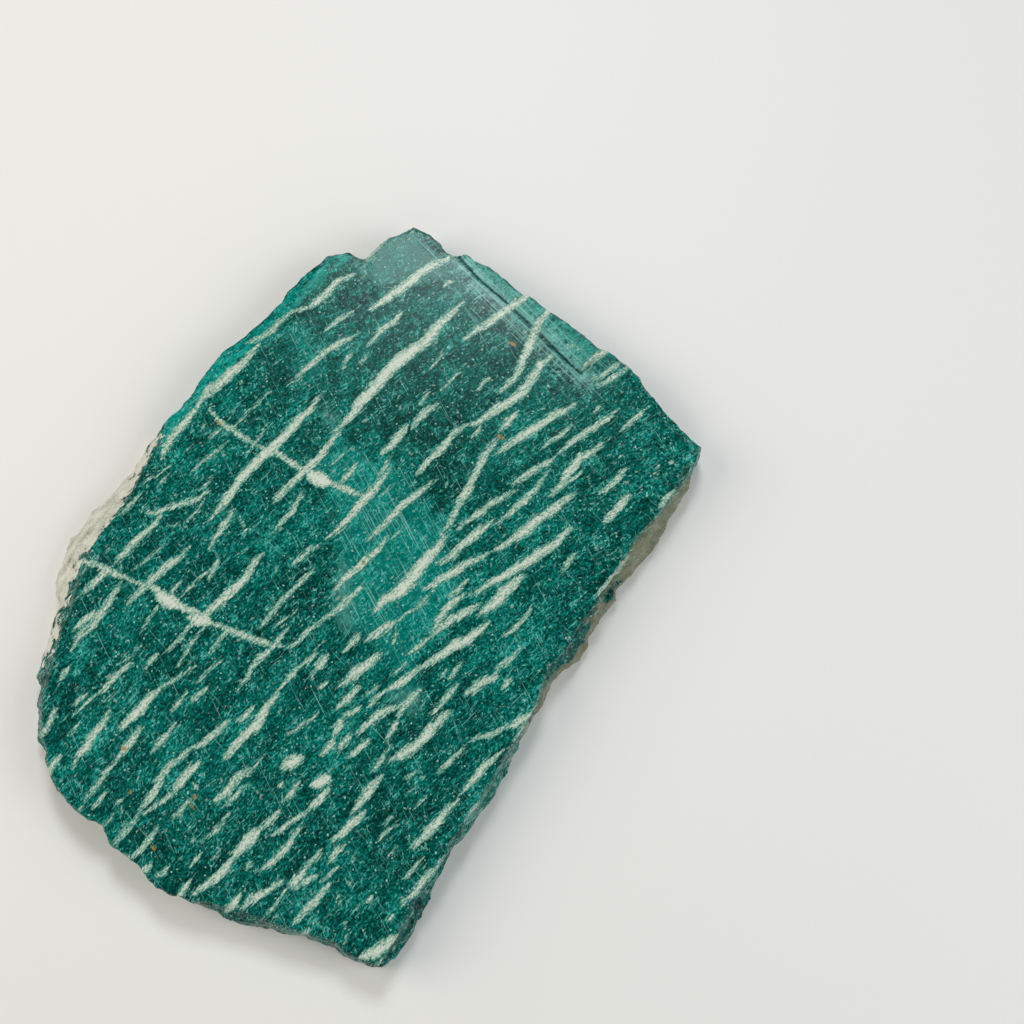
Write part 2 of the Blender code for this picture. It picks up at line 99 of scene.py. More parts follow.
# White streaks of albite, the grain of the stone. Each row is a streak: its width,
# then the points of its middle line from the upper right end to the lower left, in mm.
streaks = (
    (1.2, 1.8, 60.4, 0, 58.6, -1.2, 57, -2.7, 54.4),
    (1.9, 13, 56.2, 9, 54.2, 6, 51.8, 3, 49.2, 0, 47.2, -2, 45.3),
    (1.4, -4.5, 52.3, -7.5, 51, -9.5, 48.5, -12, 46.3, -14.5, 45.3),
    (0.9, -4.4, 45.8, -6.5, 44.2, -9.5, 41.9),
    (1.2, 4, 46, 2.5, 43.8, 0, 41.6, -2.5, 39),
    (1.3, -3.7, 41.6, -8, 38.8, -11.5, 35.8, -15.5, 31.8),
    (0.6, -4.4, 38, -5.6, 36.3, -6.2, 34.5),
    (0.4, -1.5, 37.8, -3.5, 35.9),
    (2.2, 14.5, 47.7, 11, 43.8, 8, 40.2, 4, 37, 0.5, 33, -2.5, 29.5, -4, 27, -7.8, 23.2),
    (0.4, 11, 38, 8.5, 34.5),
    (1.6, 29, 52, 26, 49, 23.5, 47, 21.5, 45.6, 19, 43.8, 16.5, 41.8, 14, 40.2),
    (0.9, 12.7, 51.3, 10.8, 50),
    (0.4, 15, 36, 12.5, 33, 10.5, 31),
    (0.7, 19, 33.8, 16.5, 31),
    (0.6, 9, 31.5, 7, 28.5),
    (1.6, 32.3, 50, 29.3, 46, 27.5, 43.5, 26, 40.8, 25, 37.5, 23.3, 33.5, 20.3, 30.5),
    (1.5, 43, 41.3, 39.7, 39.1, 37, 37.2, 34.5, 34.8),
    (0.8, 41.8, 36.8, 40, 35.3, 37, 33.5, 35.5, 32.5),
    (0.9, 43.3, 35.8, 40, 33.6, 37, 32, 35.3, 31.5),
    (0.6, 33.6, 40, 32, 38.6),
    (0.4, 5.8, 60.5, 4.5, 59),
    (1.0, -14.3, 46, -16.5, 44, -19, 41.6, -22.5, 39.6),
    (1.6, -20, 40, -22.5, 36.8, -24.7, 34.6, -27, 32, -28.7, 31, -30.8, 27.5),
    (1.5, -29.3, 29.3, -32.7, 24.8, -34.3, 22.7, -35.5, 20, -36, 18.8),
    (0.5, -18, 31.5, -20, 29, -22, 26.8, -24, 24.5),
    (0.4, -34, 18, -35.6, 16.5, -38, 15.5, -39, 14.3),
    (0.4, -34, 16.8, -35.9, 14.7),
    (1.0, -27.3, 13.8, -29, 12.3, -33, 10.9, -36.5, 9.8, -38.5, 10.3),
    (0.5, -26.8, 16.3, -27.9, 14.7, -29.7, 13.3),
    (0.5, -28.1, 11.7, -29.7, 9.6, -31.3, 8),
    (0.4, -32.4, 8, -33.2, 6.7),
    (0.7, -38.5, 13.5, -40, 11.5, -42.5, 9.3),
    (1.3, -35, 10, -36.2, 7.7, -38.5, 5.5, -41, 3, -42.5, 0.8),
    (1.2, -42.7, 0.6, -45, -1.6, -47.3, -3.8),
    (0.4, -42.9, 4.3, -44.1, 2.7),
    (0.4, -45.5, 2.7, -47.9, -0.8),
    (0.4, -34, 4.5, -36.1, 2.7, -39.3, 0),
    (1.3, -30.3, 4.2, -32, 2, -34.5, 0.2, -36.5, -2.2, -39, -4.5, -39.8, -6.2),
    (1.9, -9, 30.5, -12, 27, -15, 23.5, -18, 20.3, -21, 17.5, -23, 14.5, -25, 11.3, -27.5, 8.2),
    (1.2, -23.2, 10.5, -24.6, 8, -25.8, 5.8, -27.4, 3.3),
    (0.8, -25.2, 2.4, -26, 0.3, -26.8, -1.6),
    (0.6, -26.5, 0.5, -28.7, -1.9, -31.5, -4.6),
    (1.6, -17.8, 3.1, -19.3, 1.2, -20.8, -1.2, -22.5, -3, -24.5, -5, -27, -7.4, -30.2, -9.9),
    (0.8, -29, -9, -31.3, -11.7, -33.2, -13.8),
    (0.7, -34.2, -13.6, -35.3, -15, -36, -16.3),
    (0.9, -11.3, 13.8, -13.2, 11, -15, 8.3, -17, 6.2),
    (0.5, -22.3, 9.3, -21.2, 7.2, -21.3, 5.3),
    (0.9, -9.4, 0.4, -11.9, -1.9, -14, -4.3, -16, -6.9, -18.4, -9.9),
    (0.5, -18, 25.6, -19.3, 23.2, -20.7, 21.3, -21.7, 19.7),
    (0.6, -24.9, 22.4, -26.5, 20.5, -28.7, 18.9, -30.8, 16.3),
    (0.5, -26, 24.3, -28.1, 22.4),
    (0.4, -28.7, 25.6, -29.5, 24.3),
    (0.3, -30.3, 21.6, -31.9, 20),
    (1.5, -5.5, 25, -7.8, 21.8, -10.3, 18.6, -12.3, 16.6, -14.2, 14.5, -17, 11.2),
    (0.9, -3.1, 18.9, -4.1, 16.8, -5.5, 14.9, -5.8, 14.2),
    (0.3, -4.7, 21.3, -6, 19.5, -7.9, 17.6),
    (0.6, 2.8, 19.8, 1.3, 17.3, 0, 15),
    (1.5, 2.6, 17.4, 0.8, 15, -1.5, 12.4, -3.7, 9.3, -5.7, 7.2, -7.8, 5.2),
    (0.9, -8.5, 4.6, -10.8, 3.2, -12, 2, -13.3, 0.3),
    (0.3, 3.3, 14.9, 1.5, 13.1, 0.4, 12),
    (1.3, 10.5, 16, 7.5, 13.5, 4.5, 10.8, 2, 8.2, -1.5, 4.7),
    (1.3, 2.2, 6, 0.7, 3.5, -1.5, 1.4, -4, -0.8, -6.5, -3.2),
    (0.3, 5.2, 7.5, 2.5, 5.1),
    (1.2, 10.5, 29, 8.3, 27.6, 6.8, 25.8, 5.8, 24.3),
    (1.6, 5.2, 25.3, 3.8, 23.2, 2.3, 21.5, 0.8, 19.6),
    (1.7, 30, 38, 27.5, 35.8, 25.8, 33, 24.5, 30.8, 21.5, 28.6, 19, 27, 17, 25.6, 14.8, 24.8),
    (0.7, 17.7, 25.6, 16.7, 23.5, 16.1, 22.7),
    (1.4, 15, 25.2, 12.8, 23.3, 11.3, 21.3, 9, 18.8, 6.7, 16.3),
    (1.2, 23.9, 28, 22.5, 26.1, 20.9, 24.5, 20.4, 23.7),
    (1.3, 21, 23.3, 18.6, 20.5, 16.8, 17, 15.4, 13.8, 13.6, 10.8, 12.6, 8.3, 10.8, 5.8),
    (2.2, 12.4, 6.3, 10.3, 3.8, 8.3, 1.3, 6.6, -1, 4.6, -3.4, 2, -4.9, 0, -7.3),
    (1.1, 23.8, 13.8, 21, 12.3, 18.5, 10.8, 16, 8.7, 13.5, 7),
    (1.5, 20, 8.6, 17.5, 6.8, 15, 4.6, 12.8, 2.4, 10.5, 1.2),
    (1.7, 34, 13.7, 31, 11.5, 28, 9.3, 25, 7, 22, 4.6, 19.3, 3),
    (1.5, 19, 2.8, 16, 1.5, 13.5, 0.2, 11, -1.6, 8.2, -3.3),
    (1.7, 33.2, 7.4, 30.5, 5, 27, 2.7, 23.5, 0.4, 20.5, -1.5, 17.5, -3.4, 15.6, -4.3),
    (1.1, 29, 17.3, 27, 14.3, 24.5, 11.7, 22, 9.2, 19.8, 7.5),
    (1.1, 30, 19.6, 28.3, 18.2, 25.5, 16.4, 22.3, 14.4),
    (1.6, 33.6, 29, 31.5, 27.6, 28.5, 25.8, 25, 23.5, 22.5, 21.8, 19.5, 19.6),
    (0.9, 32.8, 25.5, 31, 23.4, 29, 22, 27.6, 20.5),
    (1.2, 40.7, 28, 38, 25.7, 35, 23.4, 32.5, 21.8, 30, 19.8),
    (1.5, 38.2, 22, 36.5, 20.4, 34, 19.2, 32.3, 17.2, 31, 14.7, 28.6, 12.4),
    (0.8, 34.1, 17.1, 33.3, 16, 32, 14.9),
    (1.0, 45.3, 28.2, 43.2, 26, 40.6, 23.8),
    (1.2, 42.2, 17.7, 40.3, 15.7, 38.5, 14, 37, 12.9),
    (1.6, 42.3, 13.3, 41, 11.5, 39, 9.3, 37.5, 8),
    (1.0, 49.9, 13.9, 48.3, 12.3, 46.9, 10.4),
    (1.4, 42.3, 2.6, 40.5, 0, 38.5, -2, 36, -4.5),
    (0.7, 37, 4, 36, 3.5),
    (0.9, 33.1, 2.9, 31.5, 0.8, 30.4, -0.8),
    (0.5, 37.6, 28.5, 36.3, 26.9),
    (0.4, 47.5, 17.9, 46.1, 16.5),
    (0.4, 45, 19.7, 44, 18.7),
    (0.4, 25.6, 21.6, 24, 20),
    (1.0, 49.6, 18.8, 49, 18),
    (0.4, -44, -0.8, -46, -2.5, -48.6, -5),
    (1.2, -40.8, -1.5, -42, -4.2, -43.5, -6.7, -45, -9, -47, -11.6),
    (1.1, -43.6, -6.3, -46, -7.8, -48.3, -10.2),
    (0.9, -45.2, -8.3, -47, -10.8, -48.3, -13.5),
    (0.6, -34.2, -5, -35.3, -6.8, -36.3, -8.6, -37.3, -10.2),
    (0.8, -30.8, -1.2, -32.6, -3.3, -34, -4.8),
    (0.6, -26.6, -8.8, -28.6, -11.6, -30, -14.1, -31, -16),
    (0.8, -22.7, -9.7, -24.3, -11.5, -26, -14),
    (0.35, -12.3, -6.5, -14.3, -8.3, -16, -10),
    (1.1, -13.3, -9.5, -15.2, -11.8, -17.1, -13.7, -19, -16, -20, -18, -21.3, -20),
    (0.9, -8.2, -12.3, -9.8, -14.5, -12.1, -16.6, -14, -18.7, -15.6, -21),
    (1.8, -14.3, -20, -15.8, -21.6, -17, -24, -19, -26.3, -21, -28.2, -23, -30.9),
    (0.9, -10.6, -10.2, -11.7, -11.8, -13.8, -13),
    (0.6, -24, -14.6, -26, -16.6, -28, -18.6),
    (0.7, -29, -19.6, -30.6, -21.5, -31.9, -23.4),
    (0.9, -25.8, -18.8, -26.8, -20, -28.8, -21.7),
    (0.7, -27.8, -15.3, -30, -17, -32, -18.3, -34.5, -19.8),
    (1.7, -33.8, -19.3, -35.4, -21, -36.7, -22.8, -38.2, -24.5, -39.6, -26.2),
    (1.0, -37.8, -14.6, -39.8, -16.4, -41.8, -18.5, -44, -20.5),
    (0.5, -43.5, -20, -45.5, -22, -47.3, -23.6),
    (0.4, -36.9, -12, -38.4, -13.9, -40.6, -15.5),
    (0.6, -44.8, -19.7, -46.1, -20.8, -47.5, -22),
    (0.5, -40.2, -19.6, -42.4, -21.3),
    (1.3, -40.9, -22.5, -42.5, -25, -44, -27.3, -45.3, -29.3, -46.8, -32),
    (0.6, -45.8, -24.5, -47.4, -26.5),
    (1.3, -35.6, -25, -37.2, -27.2, -38.5, -29.1, -39.9, -31.2),
    (0.8, -39.3, -30.3, -41.5, -33, -43.5, -36, -45.2, -38.5),
    (1.0, -30.5, -24.4, -32, -26.5, -33.4, -28.2, -34.4, -29.7),
    (1.2, -21.8, -24, -24, -26, -26.2, -27.9, -28, -29),
    (1.1, -27.2, -28.3, -29.3, -29.8, -31, -31.2, -32.3, -32.8, -34, -34.3),
    (1.0, -18.4, -22, -19.6, -23.6, -21.3, -24.6),
    (1.3, -18.9, -31.8, -20.8, -33.8, -22.6, -35.9, -24, -37.6),
    (0.7, -19, -34, -20.8, -36.1, -22.8, -38),
    (0.5, -16.2, -29.4, -18, -31.8, -20.2, -34),
    (2.2, -9.9, -30, -11.5, -30.7, -13.7, -31.8),
    (2.1, -5.7, -33, -7.3, -33.9, -9, -34.8),
    (1.1, -1.5, -2.4, -3.3, -4.4, -5.8, -6.5, -8, -8.3),
    (0.8, -7, -7.4, -9.2, -9.2, -11.1, -10.9, -12.3, -12.3),
    (0.8, 15.8, -1.4, 14, -2.9, 12.3, -4.5),
    (1.3, 15.4, -3.5, 13.4, -5.1, 11.8, -6.6, 10.8, -8.4, 10, -10),
    (1.4, 17.7, -5.4, 15.3, -6.8, 13.3, -7.9, 11.3, -9.3, 9.5, -11),
    (0.8, 9.6, -10.9, 7.8, -12.3, 5.3, -13.9),
    (1.8, 24.8, -0.7, 22.7, -2.4, 20.9, -4.5, 19.3, -5.9, 17, -7.5),
    (1.8, 19.3, -8, 17.6, -10, 15.3, -11.5, 13, -12.7, 10.8, -14.2, 8.2, -16),
    (1.3, 8.5, -15.6, 6.5, -17.2, 4.5, -18.6, 2.2, -19.9),
    (0.8, 3.2, -19.3, 1.3, -20.6, -0.3, -22.4),
    (1.3, 4.2, -8.3, 2.7, -9.2, 0.6, -10.6, -1.2, -12),
    (1.0, -1.5, -10, -2.7, -11.6, -4.3, -13.5),
    (0.6, 10.3, -3.2, 8.5, -4.9, 7, -6.2, 5.3, -7.6, 4, -8.6),
    (0.6, 4.6, -9.4, 3.8, -11.4, 2.9, -13.2),
    (1.6, 2, -13.2, 0.2, -14.9, -1.6, -16.1, -3.2, -17.3, -5.2, -19.2),
    (1.5, -6.7, -13.6, -7.8, -14.8, -8.8, -16.3),
    (0.4, -8.5, -15.8, -9.5, -17.7),
    (0.9, -6.7, -18.2, -8.1, -19.3),
    (1.1, -1.5, -18.3, -2.7, -20, -3.9, -21.4, -5.3, -22.9),
    (1.1, -1.4, -21.7, -2.6, -22.9, -3.9, -24),
    (1.2, -4, -24, -4.9, -25.5, -5.4, -27),
    (1.2, -5.3, -26.8, -6, -28.3, -7.6, -29.9),
    (1.0, -2.6, -26.2, -3.7, -27.7, -5.3, -29.6),
    (1.3, 4.9, -21.8, 2.7, -22.9, 0.6, -24.1, -0.9, -25.5, -2, -26.8),
    (1.3, 8.4, -19.1, 6.8, -20.6, 5.3, -22.4, 4.3, -24.3),
    (1.0, 4.5, -24, 3.8, -26, 2.5, -28),
    (0.4, 2.3, -18.4, 0.9, -19.4, -0.6, -20),
    (0.5, 6, -15.2, 4.3, -16.3, 3, -17.6),
    (1.1, 0.2, -27.2, -1.6, -28.8, -3.5, -30.3),
    (0.9, 3.5, -28.3, 2.4, -30.2, 0.8, -32.3),
    (1.8, 13.3, -22.7, 11.4, -24.3, 9.6, -26.2, 8, -27.9, 5.9, -29.5, 2.8, -31.2),
    (1.0, 14.3, -18, 12.9, -20, 11.4, -21.7, 9.6, -24),
    (0.9, 24.5, -12.7, 22.3, -14.4, 20.6, -16, 19.5, -17.8),
    (1.5, 20.8, -17.2, 18.7, -18, 16.8, -19, 15, -20.4),
    (1.0, 26.3, -5.5, 24.8, -7.8, 23.2, -9.4, 21, -11.2),
    (0.9, 23.1, -17.2, 22, -18.4, 21, -19.5),
    (1.0, 14.6, -15, 13.6, -16.6, 12.6, -17.8),
    (0.5, 12.4, -15.9, 11.1, -17.8),
    (1.5, 27.7, -22, 25.8, -23.5, 23.8, -24.7, 21.8, -25.5),
    (1.0, 23.2, -24.9, 20.2, -26.2, 17.6, -26.9, 15.9, -27.7),
    (0.9, 25.2, -24.5, 24.2, -26.3, 22.8, -27.9),
    (0.7, -8, -22.9, -9.8, -24.5, -11.6, -25.9, -13.2, -26.9),
    (1.4, 2.5, -32.6, 0.9, -34.6, -0.8, -36.7, -2.7, -39),
    (0.6, 8.1, -31.9, 6.7, -32.8, 5.6, -33.5),
    (0.8, -40.9, -35.3, -42, -36.9, -43, -38.4),
    (0.6, -38.2, -36.6, -39.6, -37.5),
    (0.5, -39.2, -38.3, -40.2, -40.2, -41.5, -41.5),
    (1.2, -31.6, -32.3, -32.9, -34.6, -34.5, -37.2, -36, -39.3),
    (0.8, -35.5, -38.6, -37.4, -41.3, -38.7, -43, -39.9, -44.3),
    (1.6, -26.5, -30.7, -28.2, -32.5, -29.4, -34.1, -30.6, -35.6),
    (0.8, -29.2, -34.2, -31, -36, -33, -37.9, -35, -39.1),
    (0.7, -27.3, -34, -26.3, -35.7),
    (1.1, -32.3, -40.6, -33.6, -42.5, -35, -44.3, -36.3, -45.9),
    (0.8, -27.7, -36.5, -29.3, -38.8, -30.8, -40),
    (0.7, -21.6, -38.6, -22.8, -40.6, -24.2, -42, -26, -43.2),
    (0.7, -13.3, -33.9, -14, -34.9),
    (1.1, -10.4, -34, -11.8, -35.8, -13.4, -37),
    (1.2, -13.5, -38.1, -15.2, -40.2, -17, -41.5),
    (1.9, -16, -40.8, -18, -42.5, -19.6, -44.3, -20.8, -46),
    (1.4, -19.8, -44.8, -21.5, -46.9, -23.4, -48.8, -25.4, -50.2, -27, -51.5),
    (1.5, -5.8, -34.8, -7.4, -36.8, -9.3, -38.2),
    (0.9, -8.8, -38, -11, -39.6, -13.2, -41.3, -15, -42.4),
    (1.2, -10, -40.5, -11.6, -43, -13.4, -45.3, -15.4, -46.8, -17, -47.8),
    (0.7, -17.2, -45.8, -18.5, -47.4),
    (1.2, -26.8, -48.7, -28, -50.5, -29, -52),
    (1.5, -18.8, -50.7, -20.2, -52.5, -21.5, -54),
    (1.2, -12.4, -48.7, -14.5, -50.3, -16.7, -51.4, -19.2, -53.3),
    (1.3, -9, -47, -10.6, -49, -11.9, -50.3),
    (0.6, -11.6, -50, -13.5, -52.2, -15.4, -54.8),
    (0.5, -25.4, -44.9, -27.2, -47.1),
    (0.4, -22.4, -44.7, -24, -46),
    (0.4, -26.5, -41.5, -27.4, -43.5),
    (1.2, -33, -46.6, -35, -48.2),
    (0.8, -30.2, -47, -32.5, -48.6),
    (0.8, -36.5, -45.6, -38, -45.3),
    (1.5, 0, -38.3, -2.3, -40.4, -3.7, -42, -5.7, -43.4),
    (1.1, -2.8, -43.3, -4.4, -44.7, -6, -46.4),
    (1.0, -6.7, -44.2, -8.1, -45.8, -9.5, -47.5),
    (0.9, -7.5, -48, -9.3, -49.2, -11, -50.5),
    (0.7, -4, -46.8, -5.5, -48, -7.2, -49.3),
    (1.3, -5, -49.3, -7, -51.4, -8.7, -53.2, -10.9, -55.5),
    (1.2, 1.4, -51.3, 0.5, -52.1),
    (0.7, -2, -49.1, -2.6, -49.6),
    (2.0, 5.5, -57, 3.4, -58.6, 1.6, -59.6, -0.5, -60.6),
    (0.9, 3.9, -60.2, 2.8, -61.1, 1.8, -62),
    (0.9, -8.3, -56, -9.4, -57.3),
    (0.5, -7.2, -54.8, -8, -55.6),
    (0.5, -2.8, -54.8, -3.2, -56.5),
    (0.5, -2.3, -57, -3, -58.3),
    (0.4, -4, -51.2, -4.1, -52.8),
    (0.4, -1.6, -44.6, -2.2, -46.6),
    (0.6, 4.9, -40.3, 3.2, -41.6, 1.8, -43.2),
    (0.4, 4.2, -39.2, 2.6, -40.6),
    (0.4, 7.8, -34.3, 5.8, -36),
    (0.5, 5, -43.8, 3.2, -45.5),
    (0.7, 4.8, -53.9, 3.6, -55),
    (1.3, 21.5, -28.5, 19, -31, 16.5, -33.8, 14, -36.2),     # from here on hidden in the view
    (0.9, 15.5, -28.4, 13, -30.6, 10.8, -33),
    (1.5, 14.5, -36.5, 12, -39, 9.5, -42, 7, -44.5),
    (0.7, 18, -37, 15.5, -39.8),
    (1.2, 12.5, -45.5, 10, -48, 7.5, -51, 5.5, -53),
    (0.6, 9.5, -36, 7.3, -38.3),
    (0.8, 9, -45.5, 6, -48.8),
    (1.1, -49.5, -22, -51, -25, -52.5, -28),
    (0.8, -48, -15.5, -50, -18.5),
    (1.2, -48.5, -29.5, -50, -32, -51, -34),
)

# Cross veins healed with the same white feldspar, in the same kind of rows
veins = (
    (0.9, -49.5, 1.9, -48, 1.5, -46, 1.1, -43.9, 0.3, -42, -0.5, -40.1, -1.2, -38, -2.1),
    (1.0, -39, -1.7, -35.6, -2.9, -32.8, -4.9, -30.3, -6.4, -27.8, -7.4, -25, -8.8),
    (0.9, -26.5, -8, -22.8, -9.8, -18.7, -11.4, -15.4, -12.3, -13.6, -12.6),
    (2.2, -35.6, -3.6, -33.5, -4.7, -31, -6.1),
    (2.3, -29.8, -7.7, -27.8, -8.1, -25.8, -8.2),
    (0.8, -28.5, 28, -27, 26, -25.3, 24.8, -23.3, 23.7, -21.3, 22.3, -19, 21.2),
    (0.9, -20, 21.7, -16, 19.8, -14.3, 18.6, -12, 17, -9.5, 15.8),
    (0.9, -11, 16.5, -9.5, 15.8, -6.5, 14.5, -4, 13.5, 0, 12.5),
    (2.6, -11.4, 16.6, -9.5, 15.6, -7.4, 14.8),
)


# Specks of rust, in the same kind of rows
rustSpecks = (
    (0.6, 22.1, 40, 23.5, 39.2),
    (0.6, 20.2, 23.4, 21.3, 22.4),
    (0.5, -1.9, 1.6, -1.1, 1.0),
    (0.6, -27, 25.7, -26, 25),
    (0.6, -39.2, -28.5, -38.2, -29.3),
    (0.6, -27.3, -35.9, -26.6, -36.7),
    (0.5, -27.7, -37.3, -26.9, -38),
    (0.6, -37.5, -35.1, -36.6, -35.8),
    (0.6, -33.4, -43.7, -32.6, -44.6),
)


def rowField(points, rows, reach=2.2):    # mm inside the nearest row's edge, less than 0 outside
    field = np.full(len(points), -reach)
    for width, *line in rows:
        line = np.array(line, float).reshape(-1, 2)
        steps = np.linalg.norm(np.diff(line, axis=0), axis=1)
        starts = np.concatenate(([0.0], np.cumsum(steps)))
        inside = (points > line.min(axis=0) - reach) & (points < line.max(axis=0) + reach)
        near = np.flatnonzero(inside.all(axis=1))
        for start, end, step, run in zip(line, line[1:], steps, starts):
            offset = points[near] - start
            along = np.clip(offset @ (end - start) / step ** 2, 0, 1)
            away = np.linalg.norm(offset - along[:, None] * (end - start), axis=1)
            share = (run + along * step) / starts[-1]
            half = width / 2 * (4 * share * (1 - share)) ** 0.6
            field[near] = np.maximum(field[near], half - away)
    return field


# Areas with a finish of their own, as outlines in mm. Beyond the edge they run wide.
areas = {
    "patch": (     # lighter, cloudier stone with a sharp stepped left border
        (-12.7, 29.4, -9.5, 25.9, -7.4, 23.3, -10.1, 18.9, -8.5, 12, -6.4, 7.7, -7.3, 5.8,
         -6.3, 1.8, -6.6, -4.9, -6.4, -9, -2.5, -11.5, 1, -14, 2.8, -17.5, 3.5, -20.5,
         6.5, -24.5, 9, -20.5, 8.5, -15, 11.5, -9, 14, -3, 13, 4, 12, 9, 8, 14, 5, 18,
         0, 19, -4, 22, -7, 27),
        (-17.7, 41.2, -14.7, 38.4, -13, 37, -14, 33.9, -14.8, 32.1, -12.2, 30.3, -9.5, 33,
         -9, 38, -12, 42, -15.5, 44),
        (-27.5, 31, -24, 32, -22, 30, -22.5, 27.5, -24.5, 25.5, -27, 26.5),
    ),
    "hazeAndSheen": (      # greyer film along the left border of the patch and small dry spots, then a painted sheen over the apex at the top
        (-10, 28.5, -8.5, 29.5, -6, 27, -5.5, 25.5, -8.5, 24),
        (-6.3, 4, -3.5, 1, -2.2, -6, -2.5, -10, -4, -11, -6.4, -9, -6.6, -4.9),
        (2, -20.5, 5, -19, 8.5, -18.5, 9, -21.5, 7, -25, 5, -22.5),
        (-8, 11.5, -6, 9.5, -6.5, 7, -8, 8),
        (-26.5, 24.8, -23.5, 25.5, -22, 23, -25, 22.8),
        # painted sheen: a paler spot over the apex at the top end of the step, standing for glare
        # on the face
        (-4, 52, -2.5, 58, 1, 62, 6, 61, 11, 56, 13, 51, 6, 50, 0, 49),
    ),
    "rind": (      # pale weathered crust on the left
        (-36.5, 23, -37.2, 21.3, -38.5, 18.7, -39.6, 17.1, -40.1, 14.9, -41.7, 12.3,
         -42.5, 9.9, -44.7, 7.2, -46.3, 5.3, -47.6, 2.9, -48.7, 0.5, -49.6, -2, -51, -7,
         -52.5, -14, -70, -16, -70, 26, -40, 26),
    ),
    "rim": (       # thin bright edges where light comes through the stone
        (-39, 17, -34.5, 22.4, -29.1, 30.3, -24.3, 35.7, -18.6, 41.2, -12.8, 47.6, -8.7, 52.3,
         -5, 55, -5, 70, -60, 70, -60, 17),
        (40, 36.5, 44, 31.5, 46.7, 28.5, 50.1, 25, 51.7, 23.2, 52, 20.3, 51.5, 16, 70, 16,
         70, 50, 42, 42),
    ),
    "strip": (     # sawn strip below the step, and the chamfer that follows it
        (12.5, 57.5, 13, 56.4, 16.9, 51.7, 22.4, 46.7, 27.7, 41.5, 34.4, 34.3, 39.6, 39,
         45, 45, 30, 70, 12, 70),
    ),
    "stain": (     # browner wall on the right
        (52.5, 17, 50, 13.5, 46, 8.5, 42.5, 4.5, 41, 1.5, 38, -2.5, 36, -6.5, 33, -10,
         31, -14, 28, -18, 24, -27, 60, -27, 60, 17),
    ),
}


def areaField(points, outline, reach=6.0):    # mm inside an outline, less than 0 outside
    corners = np.array(outline, float).reshape(-1, 2)
    away = np.full(len(points), reach)
    inside = np.zeros(len(points), bool)
    for start, end in zip(corners, np.roll(corners, -1, axis=0)):
        run = end - start
        offset = points - start
        along = np.clip(offset @ run / (run @ run), 0, 1)
        away = np.minimum(away, np.linalg.norm(offset - along[:, None] * run, axis=1))
        crosses = (start[1] > points[:, 1]) != (end[1] > points[:, 1])
        rise = run[1] if run[1] else 1.0
        inside ^= crosses & (points[:, 0] < start[0] + run[0] * offset[:, 1] / rise)
    return np.where(inside, away, -away)


def lineDistance(points, line):    # mm to the nearest point of a line
    corners = np.array(line, float).reshape(-1, 2)
    nearest = np.full(len(points), 1e3)
    for start, end in zip(corners, corners[1:]):
        run = end - start
        offset = points - start
        along = np.clip(offset @ run / (run @ run), 0, 1)
        away = np.linalg.norm(offset - along[:, None] * run, axis=1)
        nearest = np.minimum(nearest, away)
    return nearest


def smoothStep(values, low, high):
    share = np.clip((values - low) / (high - low), 0, 1)
    return share * share * (3 - 2 * share)


def meshPlaces(mesh, what="co"):
    values = np.zeros(len(mesh.vertices) * 3, np.float32)
    if what == "co":
        mesh.vertices.foreach_get("co", values)
    else:
        mesh.vertex_normals.foreach_get("vector", values)
    return values.reshape(-1, 3).astype(float)


def wallShare(mesh):    # 0 on the sawn face and back, 1 on the broken edge
    return 1 - smoothStep(np.abs(meshPlaces(mesh, "normal")[:, 2]), 0.80, 0.985)


def weighGroup(piece, name, weights):
    group = piece.vertex_groups.get(name) or piece.vertex_groups.new(name=name)
    levels = np.round(weights * 20).astype(int)
    for level in np.unique(levels):
        if level > 0:
            group.add(np.flatnonzero(levels == level).tolist(), level / 20, "REPLACE")


def applyModifier(piece, name, kind, **settings):
    modifier = piece.modifiers.new(name, kind)
    for setting, value in settings.items():
        setattr(modifier, setting, value)
    bpy.ops.object.modifier_apply(modifier=modifier.name)


def turnAndSqueeze(piece, turn, squeeze):
    piece.rotation_euler.z = turn
    bpy.ops.object.transform_apply(location=False, rotation=True, scale=False)
    piece.scale.x = squeeze
    bpy.ops.object.transform_apply(location=False, rotation=False, scale=True)


